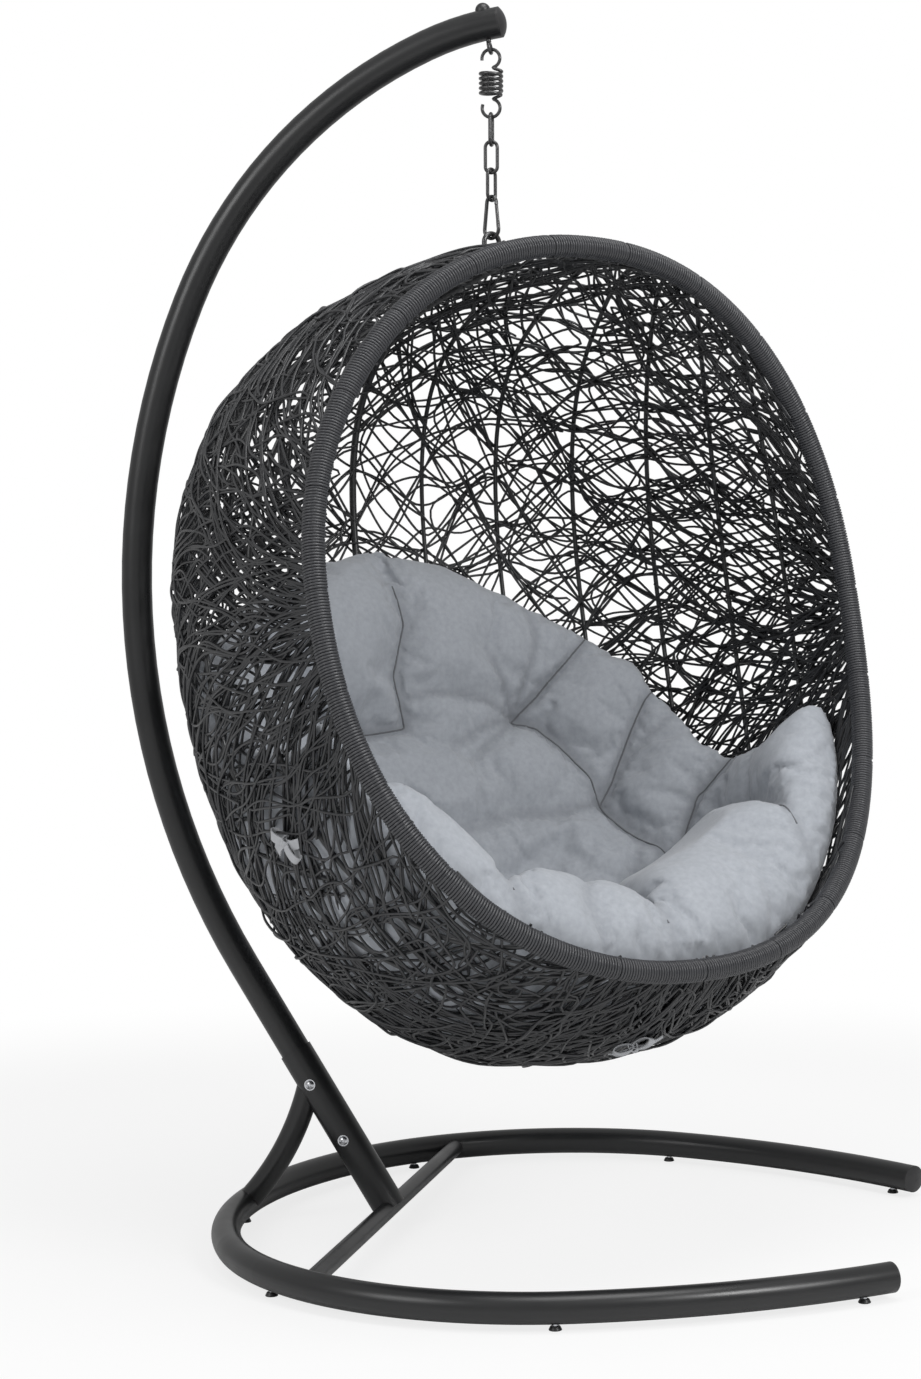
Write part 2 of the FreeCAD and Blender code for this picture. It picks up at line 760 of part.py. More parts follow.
def wicker_shell():
    shell = egg_solid(0).cut(egg_solid(shell_wall)).cut(opening_tool(shell_edge_back))
    shell = shell.cut(Part.makeCompound([tie_opening(depth, angle) for depth, angle in tie_at]))
    slot_width = basket_eye_width + 2 * basket_eye_slot
    slot_depth = basket_eye_wire + 2 * basket_eye_slot
    slot = Part.makeBox(slot_width, slot_depth, 4 * shell_wall)
    slot.translate(V(-slot_width / 2, -slot_depth / 2, -3 * shell_wall))
    slot.rotate(V(0, 0, 0), UP, 180 - basket_turn)
    slot.translate(V(0, hang_y, basket_crown_z()))
    return max(in_basket(shell).cut(slot).Solids, key=lambda piece: piece.Volume)


def basket_crown_z():
    """Height of the egg's outside on the hanging line."""
    inverse = basket_place.inverse()
    low, high = basket_middle_z, basket_middle_z + 2 * egg_up
    for _ in range(40):
        middle = (low + high) / 2
        point = inverse.multVec(V(0, hang_y, middle))
        if inside_egg(point.x, point.y, point.z, 0):
            low = middle
        else:
            high = middle
    return low


def rib_curve(turn, diameter):
    """Curve of a rib just inside the shell, in a plane through an upright line in front of the basket."""
    inset = shell_wall + rib_clear + diameter / 2
    away = V(math.sin(turn), -math.cos(turn), 0)
    centre = V(0, rib_line_ahead, 0) + away * (rib_line_ahead / math.cos(turn) * 0.8)
    return lambda angle: reach_in(centre, away * math.sin(angle) + UP * math.cos(angle), inset)


def rib_end(curve, inner, outer):
    """Angle at which a rib reaches the opening."""
    for _ in range(40):
        middle = (inner + outer) / 2
        point = curve(middle)
        if point.y < opening_depth(point.z):
            inner = middle
        else:
            outer = middle
    return inner


def rib(turn, diameter, sides=6):
    curve = rib_curve(turn, diameter)
    first = rib_end(curve, math.pi / 2, -math.pi / 2)
    last = rib_end(curve, math.pi / 2, 3 * math.pi / 2)
    spans = 12
    angles = [first + (last - first) * i / spans for i in range(spans + 1)]
    points = [curve(angle) for angle in angles]
    headings = headings_of(curve, angles, 0.01)
    steps = smooth_steps(points, headings)
    side = headings[0].cross(V(math.cos(turn), math.sin(turn), 0)).normalize()
    flat = V(math.cos(turn), math.sin(turn), 0)
    corners = []
    for i in range(sides + 1):
        angle = 2 * math.pi * i / sides
        corners.append(points[0] + (side * math.cos(angle) + flat * math.sin(angle)) * (diameter / 2))
    return path_wire(points[0], headings[0], steps).makePipeShell([Part.makePolygon(corners)], True, False)


def rib_turns():
    return [math.radians(rib_spacing * i * side) for i in range(1, rib_pairs + 1) for side in (-1, 1)]


# The loop on the crown, square to the spine and welded on it
snap_rest = snap_top - snap_length
basket_eye_top = snap_rest + (snap_wire + basket_eye_wire) / 2 + fit_gap


def basket_eye():
    radius = (basket_eye_width - basket_eye_wire) / 2
    spine_top = basket_crown_z() - shell_wall - rib_clear
    bottom = spine_top + basket_eye_wire / 2
    side = basket_eye_top - bottom - 2 * radius
    start = V(radius, 0, -radius - side)
    steps = [(side,), (radius, 180.0, -BACK), (side,), (radius, 180.0, -BACK)]
    return hung(bar(start, UP, steps, basket_eye_wire), 180 - basket_turn, basket_eye_top)


# The cushion: slices across the basket, each following the bowl outside and crowned inside
def tuft_dip(x, angle):
    dip = 0.0
    for tuft_x, tuft_angle in tufts:
        along = (angle - math.radians(tuft_angle)) * cushion_arm
        dip += math.exp(-((x - tuft_x) ** 2 + along ** 2) / tuft_spread ** 2)
    return tuft_depth * min(dip, 1.0)


def cushion_slice(x):
    edge = abs(x) / cushion_half_width
    first = math.radians(cushion_back_top + cushion_side_drop * edge * edge)
    last = math.radians(cushion_front_end)
    thick = cushion_thick + cushion_side_gain * edge ** 3
    centre = V(x, bowl_middle[0], bowl_middle[1])
    outer, inner = [], []
    for i in range(cushion_points):
        across = -math.cos(math.pi * i / (cushion_points - 1))
        angle = (first + last) / 2 + (last - first) / 2 * across
        inward = V(0, -math.cos(angle), -math.sin(angle))
        wall = reach_in(centre, -inward, cushion_inset)
        full = math.sqrt(max(1 - across ** 8, 0))
        crown = math.sqrt(max(1 - across ** 4, 0))
        outer.append(wall + inward * (thick / 2 * (1 - full)))
        inner.append(wall + inward * (thick / 2 * (1 + crown * (1 - 2 * tuft_dip(x, angle)))))
    curve = Part.BSplineCurve()
    curve.interpolate(Points=outer + inner[-2:0:-1], PeriodicFlag=True)
    return Part.Wire(curve.toShape())


def seat_cushion():
    half = [cushion_half_width * math.sin(math.pi / 2 * i / cushion_slices) for i in range(cushion_slices)]
    half.append(cushion_half_width * 0.985)
    return Part.makeLoft([cushion_slice(x) for x in [-x for x in half[:0:-1]] + half], True, False)


# A tie lies on the outside of the weave; its tape runs in through the weave to the cushion
def on_skin(shape, depth, angle):
    """A piece made at z = 0, moved to a place on the egg and pointed outward."""
    angle = math.radians(angle)
    along = section_point(depth + 1, angle, 0) - section_point(depth - 1, angle, 0)
    around = section_point(depth, angle + 0.01, 0) - section_point(depth, angle - 0.01, 0)
    return placed(shape, section_point(depth, angle, 0), around.cross(along))


def tie_opening(depth, angle):
    thick = tie_thick + 2 * tie_slot
    width = tie_width + 2 * tie_slot
    corner = V(-thick / 2, -width / 2, -2 * shell_wall)
    return on_skin(Part.makeBox(thick, width, 4 * shell_wall, corner), depth, angle)


def tie(depth, angle):
    tape_in = cushion_inset - fit_gap
    pieces = [Part.makeBox(tie_thick, tie_width, tape_in + fit_gap, V(-tie_thick / 2, -tie_width / 2, -tape_in))]
    arms = [(turn, tie_loop, 2 * tie_thick) for turn in tie_loops]
    arms += [(turn, tie_tail, tie_thick) for turn in tie_tails]
    for turn, length, thick in arms:
        arm = Part.makeBox(length, tie_width, thick, V(0, -tie_width / 2, fit_gap))
        arm.rotate(V(0, 0, 0), UP, turn)
        pieces.append(arm)
    knot = Part.makeBox(tie_knot, tie_knot, 3 * tie_thick, V(-tie_knot / 2, -tie_knot / 2, fit_gap))
    return on_skin(knot.multiFuse(pieces).removeSplitter(), depth, angle)


rim_wood = rim_bar(rim_tube_od)
ribs = [rib(turn, rib_od).cut(rim_wood) for turn in rib_turns()]
ribs = [max(piece.Solids, key=lambda solid: solid.Volume) for piece in ribs]
spine = max(rib(0.0, spine_od, 12).cut(rim_wood).Solids, key=lambda solid: solid.Volume)
wrap = rim_bar(wrap_od).cut(rim_wood).cut(Part.makeCompound(ribs + [spine]))
leg = hoop_leg()
leg_end, leg_heading = path_end(hoop_start, ACROSS, hoop_steps)
leg_plug = placed(end_plug(hoop_od, hoop_bore, leg_plug_dome), leg_end, leg_heading)
spring_start, spring_heading, spring_steps = spring_path()

save("hoop_rear_bow", rear_bow())
save("hoop_leg_left", leg)
save("hoop_leg_right", both_sides(leg))
save("leg_end_plugs", Part.makeCompound([leg_plug, both_sides(leg_plug)]))
save("foot_stems", Part.makeCompound([foot_stem(point) for point in foot_points]))
save("foot_pads", Part.makeCompound([foot_pad(point) for point in foot_points]))
save("hoop_cross_bar", cross_bar())
save("mast_sleeve", mast_sleeve())
save("rear_brace", rear_brace())
save("mast_tube", mast_tube())
mast_plug = end_plug(mast_od, mast_od - 2 * mast_wall, mast_plug_dome)
save("mast_end_plug", placed(mast_plug, mast_end, mast_end_heading))
save("mast_bolts", Part.makeCompound([mast_bolt(at) for at in mast_bolt_at]))
save("mast_bolt_washers", Part.makeCompound(mast_washers()))
save("mast_bolt_nuts", Part.makeCompound([mast_nut(at) for at in mast_bolt_at]))
save("eye_bolt", eye_bolt())
save("eye_bolt_nut", eye_nut())
save("eye_bolt_cap", eye_cap())
save("spring", bar(spring_start, spring_heading, spring_steps, spring_wire))
for name, turn, top in zip(("upper", "middle", "lower"), link_turns, link_tops):
    save("chain_link_" + name, hung(chain_link(), turn, top))
save("snap_hook_body", hung(snap_body(), snap_turn, snap_top))
save("snap_hook_gate", hung(snap_gate(), snap_turn, snap_top))
save("snap_hook_pin", hung(snap_pin(), snap_turn, snap_top))
save("basket_eye", basket_eye())
save("rim_tube", in_basket(rim_wood.cut(rim_bar(rim_tube_od - 2 * rim_tube_wall))))
save("rim_wrap", in_basket(wrap))
save("basket_ribs", in_basket(Part.makeCompound(ribs)))
save("basket_spine", in_basket(spine))
save("wicker_shell", wicker_shell())
save("seat_cushion", in_basket(seat_cushion()))
save("cushion_ties", in_basket(Part.makeCompound([tie(depth, angle) for depth, angle in tie_at])))

print("hanging line at y", round(hang_y, 2), "swing axis z", round(hang_point.z, 2))
print("overall top", round(cap_seat.z, 1))
spring_gap = least_gap(spring_start, spring_heading, spring_steps, spring_wire)
print("spring's least gap to itself", round(spring_gap, 2))
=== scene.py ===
import math

import bmesh
import bpy
import numpy as np
from mathutils import Matrix, Vector
from mathutils.bvhtree import BVHTree


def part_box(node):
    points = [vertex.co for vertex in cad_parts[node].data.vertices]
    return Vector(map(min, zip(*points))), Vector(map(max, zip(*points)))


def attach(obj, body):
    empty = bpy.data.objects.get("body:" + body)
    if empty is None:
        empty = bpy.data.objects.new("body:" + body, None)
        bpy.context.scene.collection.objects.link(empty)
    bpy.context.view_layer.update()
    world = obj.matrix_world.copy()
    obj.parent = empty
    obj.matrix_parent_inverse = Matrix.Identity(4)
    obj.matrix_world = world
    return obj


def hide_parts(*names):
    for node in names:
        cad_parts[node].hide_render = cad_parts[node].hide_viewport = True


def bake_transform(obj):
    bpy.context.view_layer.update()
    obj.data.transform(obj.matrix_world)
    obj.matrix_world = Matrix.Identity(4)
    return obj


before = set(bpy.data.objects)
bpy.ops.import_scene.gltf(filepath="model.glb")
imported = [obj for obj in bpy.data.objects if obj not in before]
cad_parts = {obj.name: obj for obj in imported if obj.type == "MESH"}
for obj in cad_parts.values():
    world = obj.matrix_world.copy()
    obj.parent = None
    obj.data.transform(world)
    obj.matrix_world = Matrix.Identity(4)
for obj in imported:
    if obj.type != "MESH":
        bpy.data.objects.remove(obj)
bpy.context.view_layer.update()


# The photo room: a white floor that runs out into white, a large lamp overhead and a broad
# one from the left, and the camera at the place and with the lens that the photo was taken.
room_white = (0.86, 0.86, 0.86)
shadow_share = 0.22
shadow_reach = 1.5
fade_reach = 2.6
room_light = 0.5

room = bpy.data.worlds.new("room")
bpy.context.scene.world = room
room.use_nodes = True
room_nodes = room.node_tree.nodes
room_links = room.node_tree.links
room_glow = room_nodes["Background"]
seen_glow = room_nodes.new("ShaderNodeBackground")
seen_glow.inputs["Color"].default_value = (1, 1, 1, 1)
room_glow.inputs["Color"].default_value = (1, 1, 1, 1)
room_glow.inputs["Strength"].default_value = room_light
ray = room_nodes.new("ShaderNodeLightPath")
either = room_nodes.new("ShaderNodeMath")
either.operation = "MAXIMUM"
room_links.new(ray.outputs["Is Camera Ray"], either.inputs[0])
room_links.new(ray.outputs["Is Transmission Ray"], either.inputs[1])
shown = room_nodes.new("ShaderNodeMixShader")
room_links.new(either.outputs[0], shown.inputs["Fac"])
room_links.new(room_glow.outputs[0], shown.inputs[1])
room_links.new(seen_glow.outputs[0], shown.inputs[2])
room_links.new(shown.outputs[0], room_nodes["World Output"].inputs["Surface"])

floor_mesh = bpy.data.meshes.new("floor")
floor_shape = bmesh.new()
bmesh.ops.create_circle(floor_shape, cap_ends=True, segments=96, radius=14.0)
floor_shape.to_mesh(floor_mesh)
floor_shape.free()
floor = bpy.data.objects.new("floor", floor_mesh)
bpy.context.scene.collection.objects.link(floor)

paper = bpy.data.materials.new("floor paper")
paper.use_nodes = True
paper_nodes = paper.node_tree.nodes
paper_links = paper.node_tree.links
paper_shader = paper_nodes["Principled BSDF"]
paper_shader.inputs["Base Color"].default_value = (*room_white, 1)
paper_shader.inputs["Roughness"].default_value = 0.55
paper_glow = paper_nodes.new("ShaderNodeEmission")
paper_place = paper_nodes.new("ShaderNodeTexCoord")
paper_distance = paper_nodes.new("ShaderNodeVectorMath")
paper_distance.operation = "LENGTH"
paper_fade = paper_nodes.new("ShaderNodeMapRange")
paper_fade.interpolation_type = "SMOOTHSTEP"
paper_fade.inputs["From Min"].default_value = shadow_reach
paper_fade.inputs["From Max"].default_value = fade_reach
paper_fade.inputs["To Min"].default_value = 1 - shadow_share
paper_ray = paper_nodes.new("ShaderNodeLightPath")
paper_seen = paper_nodes.new("ShaderNodeMath")
paper_seen.operation = "MULTIPLY"
paper_mix = paper_nodes.new("ShaderNodeMixShader")
paper_links.new(paper_place.outputs["Object"], paper_distance.inputs[0])
paper_links.new(paper_distance.outputs["Value"], paper_fade.inputs["Value"])
paper_links.new(paper_fade.outputs["Result"], paper_seen.inputs[0])
paper_links.new(paper_ray.outputs["Is Camera Ray"], paper_seen.inputs[1])
paper_links.new(paper_seen.outputs[0], paper_mix.inputs["Fac"])
paper_links.new(paper_shader.outputs[0], paper_mix.inputs[1])
paper_links.new(paper_glow.outputs[0], paper_mix.inputs[2])
paper_links.new(paper_mix.outputs[0], paper_nodes["Material Output"].inputs["Surface"])
floor_mesh.materials.append(paper)


def soft_lamp(name, place, aim, width, watts):
    lamp = bpy.data.lights.new(name, "AREA")
    lamp.shape = "DISK"
    lamp.size = width
    lamp.energy = watts
    holder = bpy.data.objects.new(name, lamp)
    holder.location = place
    holder.rotation_euler = (Vector(aim) - Vector(place)).to_track_quat("-Z", "Y").to_euler()
    bpy.context.scene.collection.objects.link(holder)


soft_lamp("lamp overhead", (-0.8, -0.6, 4.2), (0, 0, 0.9), 2.2, 60)
soft_lamp("lamp left", (-3.2, 2.6, 2.8), (0, 0, 1.0), 2.0, 45)
soft_lamp("lamp right", (-2.4, -3.4, 3.2), (0, 0, 0.9), 1.5, 95)

camera_place = (-4.0576, -0.84725, 1.0082)
camera_yaw = 8.186
camera_pitch = -1.987
camera_roll = -0.107
photo_width = 921
photo_height = 1379
lens_pixels = 2598.65
sight_pixel = (671.3, 691.7)

camera = bpy.data.cameras.new("camera")
camera.sensor_fit = "VERTICAL"
camera.sensor_height = 36
camera.lens = lens_pixels * camera.sensor_height / photo_height
camera.shift_x = (photo_width / 2 - sight_pixel[0]) / photo_height
camera.shift_y = (sight_pixel[1] - photo_height / 2) / photo_height
camera_holder = bpy.data.objects.new("camera", camera)
camera_holder.matrix_world = (
    Matrix.Translation(camera_place)
    @ Matrix.Rotation(math.radians(camera_yaw - 90), 4, "Z")
    @ Matrix.Rotation(math.radians(camera_pitch + 90), 4, "X")
    @ Matrix.Rotation(math.radians(camera_roll), 4, "Z")
)
bpy.context.scene.collection.objects.link(camera_holder)
bpy.context.scene.camera = camera_holder
bpy.context.scene.view_settings.view_transform = "Standard"


# The stand: bent steel tube, powder coated in a glossy dark grey after welding. The coat has the
# faint orange peel of baked powder.
def finish(name, colour, second, patch, rough, grain, depth, metal=0.0, coat=0.0):
    """A finish of two close colours in patches, with a fine grain. Patch and grain are sizes in metres."""
    material = bpy.data.materials.new(name)
    material.use_nodes = True
    nodes = material.node_tree.nodes
    links = material.node_tree.links
    shader = nodes["Principled BSDF"]
    shader.inputs["Metallic"].default_value = metal
    shader.inputs["Coat Weight"].default_value = coat
    shader.inputs["Coat Roughness"].default_value = 0.12
    place = nodes.new("ShaderNodeTexCoord")
    patches = nodes.new("ShaderNodeTexNoise")
    patches.inputs["Scale"].default_value = 1 / patch
    patches.inputs["Detail"].default_value = 4
    tint = nodes.new("ShaderNodeMix")
    tint.data_type = "RGBA"
    tint.inputs[6].default_value = (*colour, 1)
    tint.inputs[7].default_value = (*second, 1)
    shine = nodes.new("ShaderNodeMapRange")
    shine.inputs["From Min"].default_value = 0.3
    shine.inputs["From Max"].default_value = 0.7
    shine.inputs["To Min"].default_value = rough * 0.85
    shine.inputs["To Max"].default_value = rough * 1.2
    peel = nodes.new("ShaderNodeTexNoise")
    peel.inputs["Scale"].default_value = 1 / grain
    peel.inputs["Detail"].default_value = 2
    bump = nodes.new("ShaderNodeBump")
    bump.inputs["Strength"].default_value = 0.5
    bump.inputs["Distance"].default_value = depth
    links.new(place.outputs["Object"], patches.inputs["Vector"])
    links.new(place.outputs["Object"], peel.inputs["Vector"])
    links.new(patches.outputs["Fac"], tint.inputs["Factor"])
    links.new(tint.outputs[2], shader.inputs["Base Color"])
    links.new(patches.outputs["Fac"], shine.inputs["Value"])
    links.new(shine.outputs["Result"], shader.inputs["Roughness"])
    links.new(peel.outputs["Fac"], bump.inputs["Height"])
    links.new(bump.outputs["Normal"], shader.inputs["Normal"])
    return material


def finish_cad(material, *names):
    for name in names:
        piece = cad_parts[name]
        piece.data.materials.clear()
        piece.data.materials.append(material)


dark_grey = (0.010, 0.0103, 0.011)
grey = (0.014, 0.0144, 0.015)
powder_coat = finish("powder coat", dark_grey, grey, 0.12, 0.32, 0.0016, 0.00006)
finish_cad(powder_coat, "hoop_rear_bow", "hoop_leg_left", "hoop_leg_right", "hoop_cross_bar")
finish_cad(powder_coat, "mast_sleeve", "rear_brace", "mast_tube")


# Plugs in the open ends and glide pads under the hoop: black moulded plastic with a fine eroded
# grain. The stems of the pads and the mast's bolts are bright zinc plated steel.
soot = (0.014, 0.014, 0.015)
slate = (0.020, 0.020, 0.021)
moulded = finish("moulded plastic", soot, slate, 0.03, 0.38, 0.0005, 0.00004)
bright = (0.62, 0.63, 0.65)
dull = (0.52, 0.53, 0.56)
zinc = finish("zinc plated steel", bright, dull, 0.01, 0.24, 0.0008, 0.00002, metal=1.0)
finish_cad(moulded, "leg_end_plugs", "mast_end_plug", "foot_pads", "eye_bolt_cap")
finish_cad(zinc, "foot_stems", "mast_bolts", "mast_bolt_washers", "mast_bolt_nuts")
finish_cad(zinc, "eye_bolt_nut", "snap_hook_pin")


# The eye bolt, the chain links and the snap hook: round steel wire, formed, welded and coated
# black. The links and the hook hang loose in each other.
black = (0.020, 0.020, 0.021)
worn_black = (0.030, 0.030, 0.031)
black_coat = finish("black coated wire", black, worn_black, 0.02, 0.26, 0.0011, 0.00005, coat=0.4)
finish_cad(black_coat, "eye_bolt", "chain_link_upper", "chain_link_middle", "chain_link_lower")
finish_cad(black_coat, "snap_hook_body", "snap_hook_gate", "basket_eye")


# The spring: five and a half open turns of hardened wire with a hook turned at each end, coated
# like the chain.
spring_wire = 0.0054
hook_radius = 0.0146
coil_radius = 0.01715
coil_pitch = 0.0076
coil_turns = 5.5
coil_lead = 0.0035
spring_low, spring_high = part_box("spring")
hang_x = 0.0
hang_y = (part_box("chain_link_upper")[0].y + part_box("chain_link_upper")[1].y) / 2
coil_top = spring_high.z - spring_wire / 2 - 2 * hook_radius - coil_lead
coil_bottom = coil_top - coil_pitch * coil_turns


def bars(name, runs, thickness, round_steps, closed=False):
    """Round wire or rod along runs of points, as one curve object."""
    curve = bpy.data.curves.new(name, "CURVE")
    curve.dimensions = "3D"
    curve.bevel_depth = thickness / 2
    curve.bevel_resolution = round_steps
    curve.use_fill_caps = not closed
    for run in runs:
        spline = curve.splines.new("POLY")
        spline.points.add(len(run) - 1)
        spline.points.foreach_set("co", np.c_[run, np.ones(len(run))].ravel())
        spline.use_cyclic_u = closed
        spline.use_smooth = True
    made = bpy.data.objects.new(name, curve)
    bpy.context.scene.collection.objects.link(made)
    return made


def hook_points(middle_z, first, last):
    """Half of a hook in the plane across the stand; angles from straight behind, upwards."""
    angles = np.radians(np.linspace(first, last, 34))
    y = hang_y + hook_radius * np.cos(angles)
    return np.c_[np.full(len(angles), hang_x), y, middle_z + hook_radius * np.sin(angles)]


def eased(points, every):
    """The same run with its points spread evenly and its corners eased."""
    points = np.array(points)
    for _ in range(2):
        points[1:-1] = (points[:-2] + 2 * points[1:-1] + points[2:]) / 4
    gone = np.r_[0, np.cumsum(np.linalg.norm(np.diff(points, axis=0), axis=1))]
    steps = np.linspace(0, gone[-1], max(int(gone[-1] / every), 2))
    return np.c_[[np.interp(steps, gone, points[:, i]) for i in range(3)]].T


coil_angles = np.linspace(0, 2 * math.pi * coil_turns, 200)
coil = np.c_[
    hang_x - coil_radius * np.cos(coil_angles),
    hang_y - coil_radius * np.sin(coil_angles),
    coil_top - coil_pitch * coil_angles / (2 * math.pi),
]
top_hook = hook_points(coil_top + coil_lead + hook_radius, -10, 270)
low_hook = hook_points(coil_bottom - coil_lead - hook_radius, 90, 385)
spring_run = eased(np.r_[top_hook, coil[8:-8], low_hook], 0.0012)
spring_curve = bars("spring wire", [spring_run], spring_wire, 4)
spring = bpy.data.objects.new("spring_wire", bpy.data.meshes.new_from_object(spring_curve))
bpy.data.objects.remove(spring_curve)
bpy.context.scene.collection.objects.link(spring)
spring.data.materials.clear()
spring.data.materials.append(black_coat)
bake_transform(spring)
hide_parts("spring")


# The basket's ribs: bent steel rods from rim to rim behind the seat, with a thicker one down the
# middle, which the weave is drawn round. Sizes here are millimetres in the basket's own frame:
# x across it, y towards its front and z up.
egg_half_width = 517.0
egg_up = 541.0
egg_down = 723.0
egg_back = 480.0
egg_front = 519.0
egg_back_lift = 113.4
egg_narrowing = 0.059
egg_roundness = 0.922
egg_depth_roundness = 0.811
opening_at = 217.7
opening_radius = 1650.0
rib_od = 8.0
spine_od = 12.0
rib_depth = 6.0
rib_pairs = 6
rib_spacing = 7.7
rib_line_ahead = 550.0
basket_turn = 43.93
basket_lean = 11.55
basket_ahead = 0.073
basket_middle_z = 1.0088

basket_spin = Matrix.Rotation(math.radians(180 - basket_turn), 4, "Z")
basket_ahead_way = basket_spin.to_3x3() @ Vector((0, 1, 0))
basket_place = (
    Matrix.Translation(Vector((hang_x, hang_y, basket_middle_z)) + basket_ahead_way * basket_ahead)
    @ basket_spin
    @ Matrix.Rotation(math.radians(basket_lean), 4, "X")
    @ Matrix.Scale(0.001, 4)
)
basket_matrix = np.array(basket_place)


def in_room(points):
    """Points of the basket's frame, in metres in the room."""
    return points @ basket_matrix[:3, :3].T + basket_matrix[:3, 3]


def power(value, exponent):
    return np.sign(value) * np.abs(value) ** exponent


def egg_fill(points):
    """How far out points lie: 1 on the egg's outside, less inside."""
    x, y, z = points[..., 0], points[..., 1], points[..., 2]
    reach = np.abs(y) / np.where(y > 0, egg_front, egg_back)
    share = np.minimum(reach, 1 - 1e-9)
    scale = (1 - share ** (2 / egg_depth_roundness)) ** (egg_depth_roundness / 2)
    lift = np.where(y < 0, egg_back_lift * (y / egg_back) ** 2, 0.0)
    rise = (z - lift) / np.where(z > lift, egg_up, egg_down)
    leaning = np.zeros_like(x)
    for _ in range(3):
        side = x / (egg_half_width * (1 - egg_narrowing * leaning))
        both = np.abs(side) ** (2 / egg_roundness) + np.abs(rise) ** (2 / egg_roundness)
        size = np.maximum(both, 1e-12) ** (egg_roundness / 2)
        leaning = power(rise / size, 1 / egg_roundness)
    return np.where(reach < 1, size / scale, 1e3 * reach)


def egg_outward(points):
    """Directions square to the egg."""
    slopes = []
    for step in np.eye(3):
        slopes.append(egg_fill(points + step) - egg_fill(points - step))
    slopes = np.stack(slopes, axis=-1)
    return slopes / np.linalg.norm(slopes, axis=-1, keepdims=True)


def on_egg(middle, ways):
    """Where rays from a place inside meet the egg's outside."""
    low = np.zeros(ways.shape[:-1])
    high = np.full(ways.shape[:-1], 2 * egg_down)
    for _ in range(26):
        half = (low + high) / 2
        inside = egg_fill(middle + ways * half[..., None]) < 1
        low = np.where(inside, half, low)
        high = np.where(inside, high, half)
    return middle + ways * low[..., None]


def under_skin(points, depth):
    return points - egg_outward(points) * depth


def opening_depth(z):
    return opening_at + opening_radius - np.sqrt(opening_radius**2 - z * z)


def rib_run(turn, diameter):
    ahead = math.radians(turn)
    away = np.array([math.sin(ahead), -math.cos(ahead), 0.0])
    start = np.array([0, rib_line_ahead, 0]) + away * (rib_line_ahead / math.cos(ahead) * 0.8)
    angles = np.radians(np.linspace(-95, 275, 420))[:, None]
    points = on_egg(start, away * np.sin(angles) + np.array([0, 0, 1.0]) * np.cos(angles))
    points = under_skin(points, rib_depth + diameter / 2)
    kept = points[:, 1] < opening_depth(points[:, 2])
    first = np.argmax(kept)
    last = len(kept) - np.argmax(kept[::-1])
    return in_room(points[first:last])


rib_turns = [side * rib_spacing * i for i in range(1, rib_pairs + 1) for side in (-1, 1)]
rib_black = (0.018, 0.019, 0.020)
rib_grey = (0.026, 0.027, 0.029)
rib_coat = finish("rib coat", rib_black, rib_grey, 0.05, 0.34, 0.0014, 0.00005, coat=0.1)
ribs = bars("basket_rib_rods", [rib_run(turn, rib_od) for turn in rib_turns], rib_od / 1000, 2)
spine = bars("basket_spine_rod", [rib_run(0, spine_od)], spine_od / 1000, 3)
for rods, node in ((ribs, "basket_ribs"), (spine, "basket_spine")):
    rods.data.materials.append(rib_coat)
    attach(rods, "basket")
    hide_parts(node)


# The rim: a steel tube bent to the edge of the opening, wound square all the way round with one
# flat-lying strand of the same plastic as the weave. A turn sits wider where a new strand starts.
finish_cad(rib_coat, "rim_tube")
strand_width = 4.3
wound_radius = 15.0
turns_per_strand = 34


def rim_line(count):
    """The rim's middle line, closed, in the basket's frame."""
    angles = np.linspace(0, 2 * math.pi, 721)[:-1]
    low = np.zeros(len(angles))
    high = np.full(len(angles), egg_front - 1)
    for _ in range(34):
        y = (low + high) / 2
        scale = (1 - (y / egg_front) ** (2 / egg_depth_roundness)) ** (egg_depth_roundness / 2)
        rise = power(np.cos(angles), egg_roundness)
        z = np.where(rise > 0, egg_up, egg_down) * rise * scale
        beyond = y > opening_depth(z)
        high = np.where(beyond, y, high)
        low = np.where(beyond, low, y)
    x = egg_half_width * power(np.sin(angles), egg_roundness) * scale * (1 - egg_narrowing * np.cos(angles))
    points = np.c_[x, low, z]
    points = np.r_[points, points[:1]]
    gone = np.r_[0, np.cumsum(np.linalg.norm(np.diff(points, axis=0), axis=1))]
    steps = np.linspace(0, gone[-1], count + 1)[:-1]
    return np.c_[[np.interp(steps, gone, points[:, i]) for i in range(3)]].T, gone[-1]


def wound_run():
    samples = 16
    _, length = rim_line(8)
    turns = int(length / strand_width)
    line, _ = rim_line(turns * samples)
    ahead = np.roll(line, -1, axis=0) - np.roll(line, 1, axis=0)
    for _ in range(3):
        ahead = (np.roll(ahead, 9, axis=0) + ahead + np.roll(ahead, -9, axis=0)) / 3
    ahead /= np.linalg.norm(ahead, axis=1, keepdims=True)
    out = egg_outward(line)
    out -= ahead * np.sum(out * ahead, axis=1, keepdims=True)
    out /= np.linalg.norm(out, axis=1, keepdims=True)
    side = np.cross(ahead, out)
    turn = np.arange(len(line)) / samples
    part = turn % turns_per_strand
    radius = wound_radius - 1.6 * np.exp(-((part - turns_per_strand / 2) ** 2) * 3)
    angle = 2 * math.pi * turn
    return line + (out * np.cos(angle)[:, None] + side * np.sin(angle)[:, None]) * radius[:, None]


def plastic_strand(name, colour, second, streak):
    """Extruded plastic strand: close to black, with fine grooves and a waxy shine."""
    material = finish(name, colour, second, streak, 0.36, 0.0009, 0.00025)
    shader = material.node_tree.nodes["Principled BSDF"]
    shader.inputs["Specular IOR Level"].default_value = 0.55
    return material


